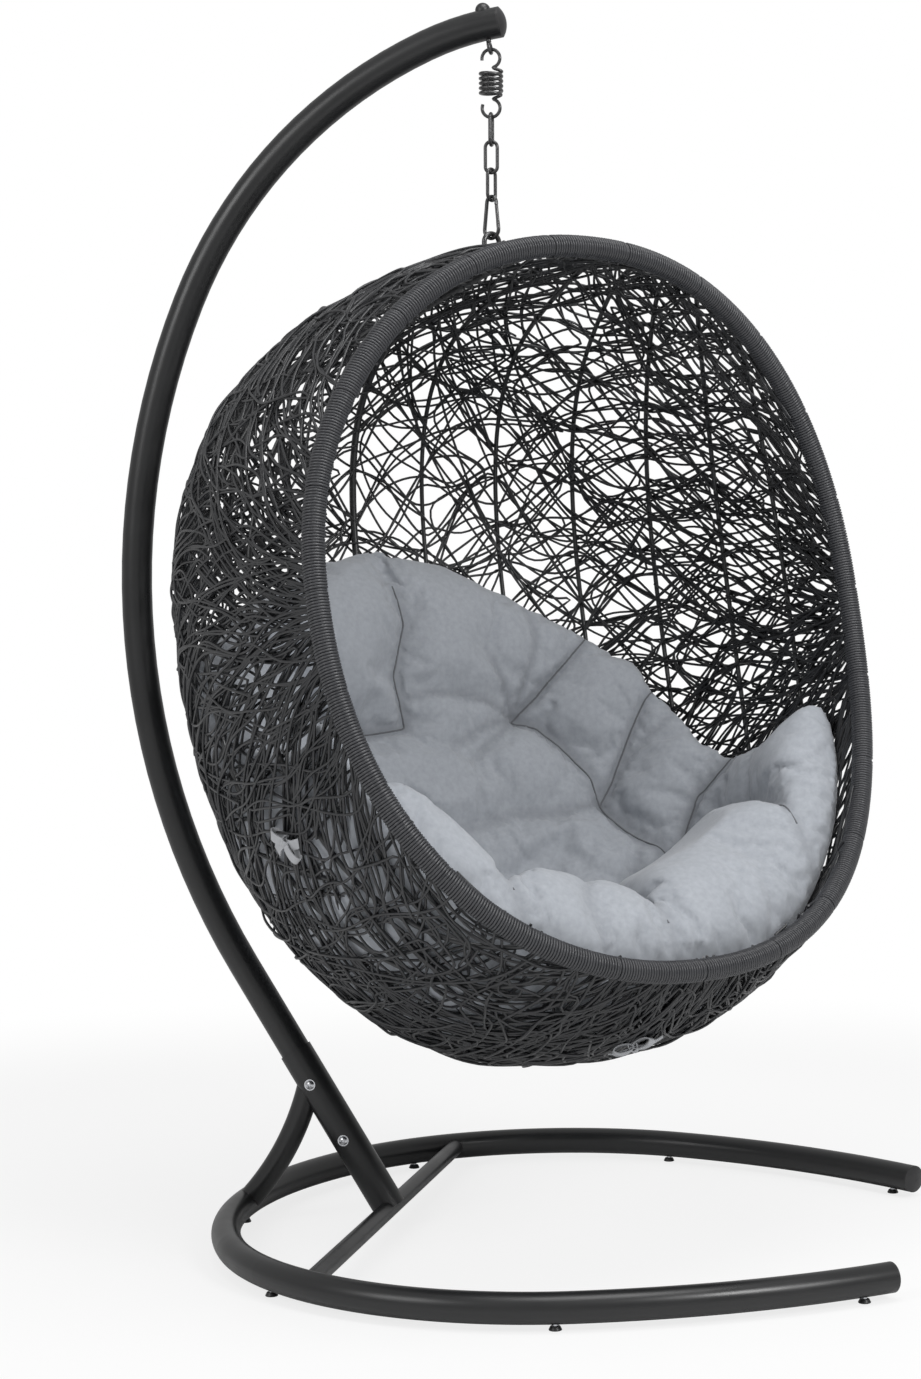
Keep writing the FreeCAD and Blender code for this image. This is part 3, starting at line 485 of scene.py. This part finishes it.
rim_plastic = plastic_strand("rim strand", (0.030, 0.031, 0.035), (0.048, 0.049, 0.054), 0.03)
rim_winding = bars("rim_winding", [in_room(wound_run())], strand_width / 1000, 1, closed=True)
rim_core = bars("rim_winding_core", [in_room(rim_line(240)[0])], 0.0275, 3, closed=True)
for piece in (rim_winding, rim_core):
    piece.data.materials.append(rim_plastic)
    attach(piece, "basket")
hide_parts("rim_wrap")


# The weave: long plastic strands drawn by hand from rib to rib in no fixed pattern, over one rib
# and under the next, several of them meeting at each crossing. They end under the rim's winding.
strand_round = 4.3
strand_step = 13.0
knot_turn = 5.0
outer_depth = 2.6
inner_depth = 16.5
end_under_rim = 6.0
weave_start = np.array([0.0, 0.0, -60.0])
weave_arm = 480.0


def weave_points(place, turn):
    """Places on the egg: place counts ribs from the middle, turn goes round behind the seat."""
    ahead = np.radians(place * rib_spacing)
    away = np.stack([np.sin(ahead), -np.cos(ahead), np.zeros_like(ahead)], axis=-1)
    start = np.array([0, rib_line_ahead, 0]) + weave_start + away * weave_arm
    turn = np.radians(turn)[..., None]
    return on_egg(start, away * np.cos(turn) + np.array([0, 0, 1.0]) * np.sin(turn))


def next_crossing(rng, rib, count, steps, chances):
    """The step along a rib, drawn by chance but rather to where few strands are yet."""
    weights = np.array(chances) * np.exp(-0.5 * taken[rib % 41, (count + np.array(steps)) % 81])
    count += int(rng.choice(steps, p=weights / weights.sum()))
    taken[rib % 41, count % 81] += 1
    return count


def strand_path(rng, kind, rib, count):
    """The crossings that one strand goes through."""
    way = 1 if rng.random() < 0.5 else -1
    climb = 1 if rng.random() < 0.5 else -1
    path = [(rib, count)]
    for _ in range(rng.integers(8, 14)):
        if abs(rib + way) > rib_pairs + 2:
            way = -way
        rib += way
        if kind == "level":
            steps = (-3, -2, -1, 0, 1, 2, 3)
            chances = (0.10, 0.17, 0.17, 0.12, 0.17, 0.17, 0.10)
        elif kind == "slant":
            climb = -climb if rng.random() < 0.18 else climb
            steps = (2 * climb, 3 * climb, 4 * climb, 5 * climb)
            chances = (0.3, 0.3, 0.2, 0.2)
        else:
            way = -way if rng.random() < 0.8 else way
            steps = (climb, 2 * climb, 3 * climb)
            chances = (0.3, 0.4, 0.3)
        count = next_crossing(rng, rib, count, steps, chances)
        path.append((rib, count))
    return path


def strand_run(rng, path):
    """One strand through its crossings, in the basket's frame, cut off inside the rim's winding."""
    ribs_at = np.array([rib for rib, _ in path], dtype=float)
    turns_at = np.array([count * knot_turn + slips[rib % 41, count % 81] for rib, count in path])
    turns_at += rng.normal(0, 0.9, len(path))
    sides_at = rng.random(len(path)) < 0.64
    knots = np.arange(len(path))
    share = np.linspace(0, len(path) - 1, (len(path) - 1) * 10 + 1)
    between = np.sin(math.pi * (share % 1)) ** 2
    bow = np.interp(np.floor(share), knots, rng.normal(0, 1.7, len(path))) * between
    wave = rng.uniform(0.7, 1.3, 2)
    phase = rng.uniform(0, 2 * math.pi, 2)
    bow += 0.7 * np.sin(2 * math.pi * share * wave[0] + phase[0])
    bow += 0.5 * np.sin(5 * share * wave[1] + phase[1])
    line = np.c_[np.interp(share, knots, ribs_at), np.interp(share, knots, turns_at) + bow]
    for _ in range(3):
        line[1:-1] = (line[:-2] + 2 * line[1:-1] + line[2:]) / 4
    sides = np.interp(share, knots, sides_at)
    sides = sides * sides * (3 - 2 * sides)
    points = weave_points(line[:, 0], line[:, 1])
    proud = rng.uniform(0, 7, len(path)) * (rng.random(len(path)) < 0.35)
    lift = np.interp(np.floor(share), knots, proud) * between * sides
    depth = inner_depth + (outer_depth - inner_depth) * sides - lift + rng.normal(0, 0.7)
    points = under_skin(points, depth[:, None])
    inside = points[:, 1] < opening_depth(points[:, 2]) + end_under_rim
    runs = []
    start = None
    for i, kept in enumerate(np.append(inside, False)):
        if kept and start is None:
            start = i
        if not kept and start is not None:
            if i - start > 5:
                runs.append(eased(points[start:i], strand_step))
            start = None
    return runs


weave_plastic = plastic_strand("weave strand", (0.014, 0.0145, 0.016), (0.026, 0.027, 0.030), 0.05)
weave_counts = {
    "weave_strands_a": ("level", 205),
    "weave_strands_b": ("level", 205),
    "weave_strands_c": ("slant", 170),
    "weave_strands_d": ("upright", 150),
}
shade = np.random.default_rng(7)
slips = shade.uniform(-1.8, 1.8, (41, 81))
taken = np.zeros((41, 81))
starts = [(rib, count) for rib in range(-rib_pairs - 1, rib_pairs + 2) for count in range(-33, 23)]
for name, (kind, count) in weave_counts.items():
    runs = []
    for start in shade.choice(len(starts), count, replace=False):
        path = strand_path(shade, kind, *starts[start])
        runs += [in_room(run) for run in strand_run(shade, path)]
    layer = bars(name, runs, strand_round / 1000, 1)
    layer.data.materials.append(weave_plastic)
    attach(layer, "basket")
    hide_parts("wicker_shell")


# The seat cushion: one large bag of woven polyester in heather grey, stuffed full and sewn through
# at tufts. Deep seams run from tuft to tuft and out to its edge, and part it into plump lobes.
cushion_inset = 20.0
cushion_thick = 122.0
cushion_side_gain = 60.0
cushion_reach = 478.0
thickest_share = 0.40
bowl_middle = (60.0, 100.0)
cushion_edge = (
    (-466, 281), (-456, 276), (-444, 262), (-424, 240), (-400, 220), (-370, 206), (-320, 195), (-230, 184),
    (-110, 175), (0, 172), (120, 174), (240, 180), (360, 194), (440, 206), (462, 216), (474, 232),
)
cushion_front = 288.0
tuft_back = (-176, 213)
tuft_seat = (-280, 234)
tuft_side = (-325, 255)
tuft_front = (-70, 258)
tuft_back_left = (190, 213)
tuft_seat_left = (270, 236)
tuft_side_left = (330, 256)
tuft_front_left = (110, 258)
tufts = (tuft_back, tuft_seat, tuft_side, tuft_front)
tufts += (tuft_back_left, tuft_seat_left, tuft_side_left, tuft_front_left)
main_seams = (
    (tuft_back, (-219, 210), (-272, 204.5), (-324, 198), (-350, 192)),
    (tuft_back, (-212, 216), (-241, 221.5), (-266, 228.5), tuft_seat),
    (tuft_seat, (-306, 232), (-329, 229), (-372, 222.5), (-410, 219)),
    (tuft_side, (-352, 251), (-386, 249), (-421, 253), (-445, 256)),
    (tuft_back_left, (110, 214), (33, 213), (45, 203), (14, 191), (22, 181)),
    (tuft_seat, tuft_side),
    (tuft_back_left, tuft_seat_left, tuft_side_left, (400, 280)),
    (tuft_back_left, (300, 200), (400, 185)),
    (tuft_side_left, (420, 250), (480, 240)),
)
front_seams = (
    (tuft_side, (-200, 256), tuft_front, (20, 262), tuft_front_left, tuft_side_left),
    (tuft_side, (-367, 258), (-372, 266), (-351, 276), (-318, 289)),
    (tuft_front, (-40, 270), (-8, 290)),
    (tuft_front_left, (180, 268), (244, 290)),
    (tuft_side_left, (380, 270), (400, 288)),
)
soft_seams = (
    (tuft_back, (-115, 215.5), (-40, 219)),
    (tuft_back, (-131, 217.5), (-72, 222)),
    (tuft_back, (-86, 209), (-20, 208), (45, 207.5)),
    (tuft_back, (-145, 204), (-131, 198.5)),
    (tuft_back, (-198, 206), (-221, 199.5), (-230, 186)),
    (tuft_seat, (-349, 230.5), (-397, 231.5)),
    (tuft_seat, (-213, 234.5), (-118, 232), (0, 234)),
    (tuft_seat, (-300, 240.5), (-302, 246), (-240, 252)),
    ((-200, 252), (-60, 268), (116, 288)),
)
main_depth = 64.0
main_width = 96.0
front_depth = 125.0
front_width = 84.0
soft_depth = 17.0
soft_width = 36.0
tuft_depth = 74.0
tuft_width = 60.0
seam_fade = 0.75
lobe_rise = 40.0
front_rise = 62.0
degree_length = 7.1
cloth_voxel = 0.0075
cloth_pressure = 4.0
cloth_cap = 0.022


def seam_distance(across, turn, seam):
    """How far places on the cushion lie from a seam, in millimetres, and how far along it."""
    nearest = np.full(across.shape, 1e6)
    along = np.zeros(across.shape)
    for i, ((x1, a1), (x2, a2)) in enumerate(zip(seam, seam[1:])):
        run = np.array([x2 - x1, (a2 - a1) * degree_length])
        dx = across - x1
        da = (turn - a1) * degree_length
        share = np.clip((dx * run[0] + da * run[1]) / (run @ run), 0, 1)
        reach = np.hypot(dx - share * run[0], da - share * run[1])
        along = np.where(reach < nearest, (i + share) / (len(seam) - 1), along)
        nearest = np.minimum(nearest, reach)
    return nearest, along


def plump(distance, width):
    """The rounded shoulder of a lobe: 0 in the seam, 1 at its width."""
    share = np.clip(distance / width, 0, 1)
    return np.sqrt(share * (2 - share))


def cushion_dip(across, turn):
    dip = np.zeros(across.shape)
    kinds = (
        (main_seams, main_depth, main_width, seam_fade),
        (front_seams, front_depth, front_width, 0.2),
        (soft_seams, soft_depth, soft_width, seam_fade),
    )
    for seams, depth, width, fade in kinds:
        for seam in seams:
            reach, along = seam_distance(across, turn, seam)
            dip = np.maximum(dip, depth * (1 - fade * along) * (1 - plump(reach, width)))
    for tuft in tufts:
        reach = np.hypot(across - tuft[0], (turn - tuft[1]) * degree_length)
        dip = np.maximum(dip, tuft_depth * (1 - plump(reach, tuft_width)))
    return dip


def cushion_body():
    """A closed skin: its back lies in the bowl, its face has the lobes."""
    across = np.linspace(cushion_edge[0][0], cushion_edge[-1][0], 150)
    rounds = np.linspace(0, math.pi, 121)
    edge_at = np.interp(across, [x for x, _ in cushion_edge], [a for _, a in cushion_edge])
    edge_at = edge_at[:, None]
    turn = (edge_at + cushion_front) / 2 - (cushion_front - edge_at) / 2 * np.cos(rounds)
    share = -np.cos(rounds)[None, :]
    wide = np.repeat(across[:, None], len(rounds), axis=1)
    angle = np.radians(turn)
    way = np.stack([np.zeros_like(angle), np.cos(angle), np.sin(angle)], axis=-1)
    middle = [wide, np.full_like(wide, bowl_middle[0]), np.full_like(wide, bowl_middle[1])]
    middle = np.stack(middle, axis=-1)
    wall = on_egg(middle, way) - way * cushion_inset
    thick = cushion_thick + cushion_side_gain * np.abs(wide / cushion_reach) ** 3
    end = np.clip((across - across[0]) / 60, 0, 1) * np.clip((across[-1] - across) / 60, 0, 1)
    end = np.sqrt(end * (2 - end))[:, None]
    back_crown = np.sqrt(np.maximum(1 - np.maximum(-share, 0) ** 5, 0))
    front_crown = np.sqrt(np.maximum(1 - np.maximum(share, 0) ** 14, 0))
    crown = back_crown * front_crown * end
    toward_front = np.clip((turn - 252) / 18, 0, 1)
    toward_front = toward_front * np.clip((440 - np.abs(wide)) / 90, 0, 1)
    rise = lobe_rise + front_rise * toward_front * toward_front * (3 - 2 * toward_front)
    dip = cushion_dip(wide, turn)
    room = thickest_share * np.linalg.norm(wall - middle, axis=-1)
    squeeze = np.minimum(1, room / (thick + rise))
    top = (thick / 2) * (1 + crown) + (rise - dip * crown) * crown
    face = wall - way * (top * squeeze)[..., None]
    back = wall - way * ((thick / 2) * (1 - crown) * squeeze)[..., None]
    rows, columns = wide.shape
    points = np.concatenate([face.reshape(-1, 3), back.reshape(-1, 3)])
    quads = []
    for i in range(rows - 1):
        for j in range(columns - 1):
            a = i * columns + j
            quads.append((a, a + 1, a + columns + 1, a + columns))
            b = a + rows * columns
            quads.append((b, b + columns, b + columns + 1, b + 1))
    for i in range(rows - 1):
        for j in (0, columns - 1):
            a = i * columns + j
            b = a + rows * columns
            quads.append((a, a + columns, b + columns, b) if j == 0 else (a, b, b + columns, a + columns))
    for j in range(columns - 1):
        for i in (0, rows - 1):
            a = i * columns + j
            b = a + rows * columns
            quads.append((a, b, b + 1, a + 1) if i == 0 else (a, a + 1, b + 1, b))
    made = bpy.data.meshes.new("seat_cushion_cloth")
    made.from_pydata([tuple(p) for p in in_room(points)], [], quads)
    return made


def applied(piece):
    """The piece's mesh with its modifiers worked in."""
    shown = piece.evaluated_get(bpy.context.evaluated_depsgraph_get())
    done = bpy.data.meshes.new_from_object(shown)
    piece.modifiers.clear()
    piece.data = done


def mesh_places(mesh):
    places = np.empty(len(mesh.vertices) * 3, dtype=np.float32)
    mesh.vertices.foreach_get("co", places)
    return places.reshape(-1, 3).astype(float)


cushion = bpy.data.objects.new("cushion_cover", cushion_body())
bpy.context.scene.collection.objects.link(cushion)
remesh = cushion.modifiers.new("remesh", "REMESH")
remesh.mode = "VOXEL"
remesh.voxel_size = cloth_voxel
applied(cushion)
before = mesh_places(cushion.data)
basket_inverse = np.array(basket_place.inverted())
local = before @ basket_inverse[:3, :3].T + basket_inverse[:3, 3]
turns = np.degrees(np.arctan2(local[:, 2] - bowl_middle[1], local[:, 1] - bowl_middle[0])) % 360
held = np.zeros(len(before))
for seam in main_seams + front_seams:
    held = np.maximum(held, np.clip(1.4 - seam_distance(local[:, 0], turns, seam)[0] / 9, 0, 1))
for seam in soft_seams:
    held = np.maximum(held, 0.5 * np.clip(1.4 - seam_distance(local[:, 0], turns, seam)[0] / 8, 0, 1))
lying = egg_fill(local) > 0.945
held = np.where(lying, 1.0, held)
pins = cushion.vertex_groups.new(name="sewn")
for level in range(1, 11):
    chosen = np.nonzero(np.round(held * 10) == level)[0]
    pins.add([int(i) for i in chosen], level / 10, "REPLACE")
cloth = cushion.modifiers.new("cloth", "CLOTH")
cloth.settings.quality = 4
cloth.settings.mass = 0.25
cloth.settings.tension_stiffness = 12
cloth.settings.compression_stiffness = 12
cloth.settings.shear_stiffness = 4
cloth.settings.bending_stiffness = 0.4
cloth.settings.use_pressure = True
cloth.settings.uniform_pressure_force = cloth_pressure
cloth.settings.shrink_min = -0.07
cloth.settings.vertex_group_mass = "sewn"
cloth.settings.effector_weights.gravity = 0
cloth.collision_settings.use_self_collision = False
for step in range(1, 21):
    bpy.context.scene.frame_set(step)
applied(cushion)
bpy.context.scene.frame_set(1)
after = mesh_places(cushion.data)
moved = after - before
length = np.linalg.norm(moved, axis=1, keepdims=True)
after = before + moved * np.minimum(1, cloth_cap / np.maximum(length, 1e-9))
cushion.data.vertices.foreach_set("co", after.astype(np.float32).ravel())
cushion.data.update()
cushion.data.shade_smooth()
# Painted shade: a value from 0 to 1, high along the seams and in the tuft pits where the grooves fall into
# shade. It darkens the cover's colour below.
painted_seam_shade = cushion.data.attributes.new("painted_seam_shade", "FLOAT", "POINT")
painted_crease_shade = np.zeros(len(before))
for seams, width, dark in ((main_seams, 10, 1.0), (front_seams, 10, 0.8), (soft_seams, 7, 0.7)):
    for seam in seams:
        reach, along = seam_distance(local[:, 0], turns, seam)
        painted_crease_shade = np.maximum(painted_crease_shade, dark * (1 - 0.6 * along) * np.exp(-((reach / width) ** 2)))
for tuft in tufts:
    reach = np.hypot(local[:, 0] - tuft[0], (turns - tuft[1]) * degree_length)
    painted_crease_shade = np.maximum(painted_crease_shade, np.exp(-((reach / 18) ** 2)))
painted_crease_shade[lying] = 0
painted_seam_shade.data.foreach_set("value", painted_crease_shade.astype(np.float32))

cover = finish("heather cover", (0.28, 0.30, 0.33), (0.42, 0.44, 0.475), 0.009, 0.88, 0.0011, 0.00045)
cover_shader = cover.node_tree.nodes["Principled BSDF"]
cover_shader.inputs["Sheen Weight"].default_value = 0.25
cover_shader.inputs["Specular IOR Level"].default_value = 0.15
cover_nodes = cover.node_tree.nodes
cover_links = cover.node_tree.links
# Painted shade: the cover's colour is mixed towards a dark grey where the seam and tuft shade value is
# high, so the grooves and pits look shaded.
painted_shade_value = cover_nodes.new("ShaderNodeAttribute")
painted_shade_value.attribute_name = "painted_seam_shade"
painted_shade_strength = cover_nodes.new("ShaderNodeMath")
painted_shade_strength.operation = "MULTIPLY"
painted_shade_strength.inputs[1].default_value = 0.62
painted_shade_mix = cover_nodes.new("ShaderNodeMix")
painted_shade_mix.data_type = "RGBA"
painted_shade_mix.inputs[7].default_value = (0.075, 0.08, 0.09, 1)
cover_links.new(painted_shade_value.outputs["Fac"], painted_shade_strength.inputs[0])
cover_links.new(painted_shade_strength.outputs[0], painted_shade_mix.inputs["Factor"])
cover_links.new(cover_shader.inputs["Base Color"].links[0].from_socket, painted_shade_mix.inputs[6])
cover_links.new(painted_shade_mix.outputs[2], cover_shader.inputs["Base Color"])
cushion.data.materials.clear()
cushion.data.materials.append(cover)
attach(cushion, "basket")
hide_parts("seat_cushion")


# The seams of the cushion: two edges of cover cloth sewn face to face, so that only a narrow dark
# line of thread and folded edge shows at the bottom of each groove.
seam_thread = 0.0030
cover_tree = BVHTree.FromObject(cushion, bpy.context.evaluated_depsgraph_get())


def seam_line(seam):
    """A seam's run along the bottom of its groove."""
    steps = np.linspace(0, len(seam) - 1, 28 * (len(seam) - 1))
    across = np.interp(steps, range(len(seam)), [x for x, _ in seam])
    turn = np.radians(np.interp(steps, range(len(seam)), [a for _, a in seam]))
    line = []
    for x, a in zip(across, turn):
        start = Vector((x, bowl_middle[0], bowl_middle[1]))
        way = Vector((0, math.cos(a), math.sin(a)))
        found = cover_tree.ray_cast(basket_place @ start, basket_place.to_3x3().normalized() @ way)
        if found[0] is not None:
            line.append(tuple(found[0]))
    return eased(line, 0.004) if len(line) > 8 else None


thread = finish("seam thread", (0.10, 0.105, 0.115), (0.15, 0.155, 0.165), 0.004, 0.9, 0.0006, 0.0002)
lines = [line for line in map(seam_line, main_seams + front_seams) if line is not None]
seams_sewn = bars("cushion_seams", lines, seam_thread, 1)
seams_sewn.data.materials.append(thread)
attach(seams_sewn, "basket")


# The ties: tapes of the cover cloth, sewn to the cushion, brought out through the weave and tied in
# a bow. Each bow has two loops, two cut ends and a knot.
tape_width = 15.0
tape_thick = 1.6
knot_width = 13.0
knot_height = 8.0


def tape(points, widths, side):
    """A flat tape along points: a closed strip with a little thickness."""
    points = np.array(points, dtype=float)
    side = np.array(side, dtype=float)
    ahead = np.gradient(points, axis=0)
    ahead /= np.linalg.norm(ahead, axis=1, keepdims=True)
    face = np.cross(ahead, side)
    face /= np.linalg.norm(face, axis=1, keepdims=True)
    half = np.array(widths)[:, None] / 2
    ring = [
        points + side * half + face * tape_thick / 2,
        points - side * half + face * tape_thick / 2,
        points - side * half - face * tape_thick / 2,
        points + side * half - face * tape_thick / 2,
    ]
    corners = np.stack(ring, axis=1).reshape(-1, 3)
    faces = [(0, 1, 2, 3), tuple(len(corners) - 4 + i for i in (3, 2, 1, 0))]
    for i in range(len(points) - 1):
        for j in range(4):
            a = 4 * i + j
            b = 4 * i + (j + 1) % 4
            faces.append((a, a + 4, b + 4, b))
    return corners, faces


def bow(place, up, loops, ends):
    """Loops and ends go out at angles from a direction on the weave; all in the basket's frame."""
    out = egg_outward(np.array([place]))[0]
    up = np.array(up) - out * np.dot(up, out)
    up /= np.linalg.norm(up)
    across = np.cross(out, up)
    parts = []
    share = np.linspace(0, 1, 25)
    for angle, length in loops:
        way = up * math.cos(math.radians(angle)) + across * math.sin(math.radians(angle))
        side = np.cross(way, out)
        reach = length * (1 - np.cos(2 * math.pi * share)) / 2
        height = 5 + 7 * np.sin(2 * math.pi * share) + 2 * share
        width = tape_width * (0.62 + 0.5 * np.sin(math.pi * share))
        parts.append(tape(place + reach[:, None] * way + height[:, None] * out, width, side))
    for angle, length in ends:
        way = up * math.cos(math.radians(angle)) + across * math.sin(math.radians(angle))
        side = np.cross(way, out)
        height = 6 + 3 * np.sin(3.2 * share) - 4 * share
        width = tape_width * (0.6 + 0.45 * np.minimum(share * 3, 1))
        sway = 2.5 * np.sin(4 * share)
        line = place + length * share[:, None] * way + height[:, None] * out + sway[:, None] * side
        parts.append(tape(line, width, side))
    turn = 2 * math.pi * share
    band_height = 5 + np.cos(turn) * knot_height
    band = place + np.sin(turn)[:, None] * up * knot_width / 2 + band_height[:, None] * out
    parts.append(tape(band, np.full(len(share), knot_width), across))
    return parts


left_way = np.array([[474.0, 0.0, -295.0]]) / math.hypot(474, 295)
left_tie = on_egg(np.array([[0.0, 39.0, -60.0]]), left_way)[0]
low_tie = on_egg(np.array([[0.0, 170.0, -60.0]]), np.array([[0.017, 0.0, -0.99986]]))[0]
tie_parts = bow(left_tie, (0, -0.5, 0.85), ((25, 32), (168, 34)), ((72, 40), (215, 24)))
tie_parts += bow(low_tie, (-0.69, 0.72, 0), ((18, 32), (160, 32)), ((-14, 46), (200, 42)))
tie_corners = []
tie_faces = []
for corners, faces in tie_parts:
    tie_faces += [tuple(len(tie_corners) + i for i in face) for face in faces]
    tie_corners += [tuple(corner) for corner in in_room(corners)]
tie_mesh = bpy.data.meshes.new("cushion_tie_tapes")
tie_mesh.from_pydata(tie_corners, [], tie_faces)
tie_tapes = bpy.data.objects.new("cushion_tie_tapes", tie_mesh)
bpy.context.scene.collection.objects.link(tie_tapes)
tape_cloth = finish("tie tape", (0.36, 0.37, 0.39), (0.46, 0.47, 0.49), 0.004, 0.85, 0.0008, 0.0003)
tie_mesh.materials.append(tape_cloth)
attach(tie_tapes, "basket")
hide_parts("cushion_ties")
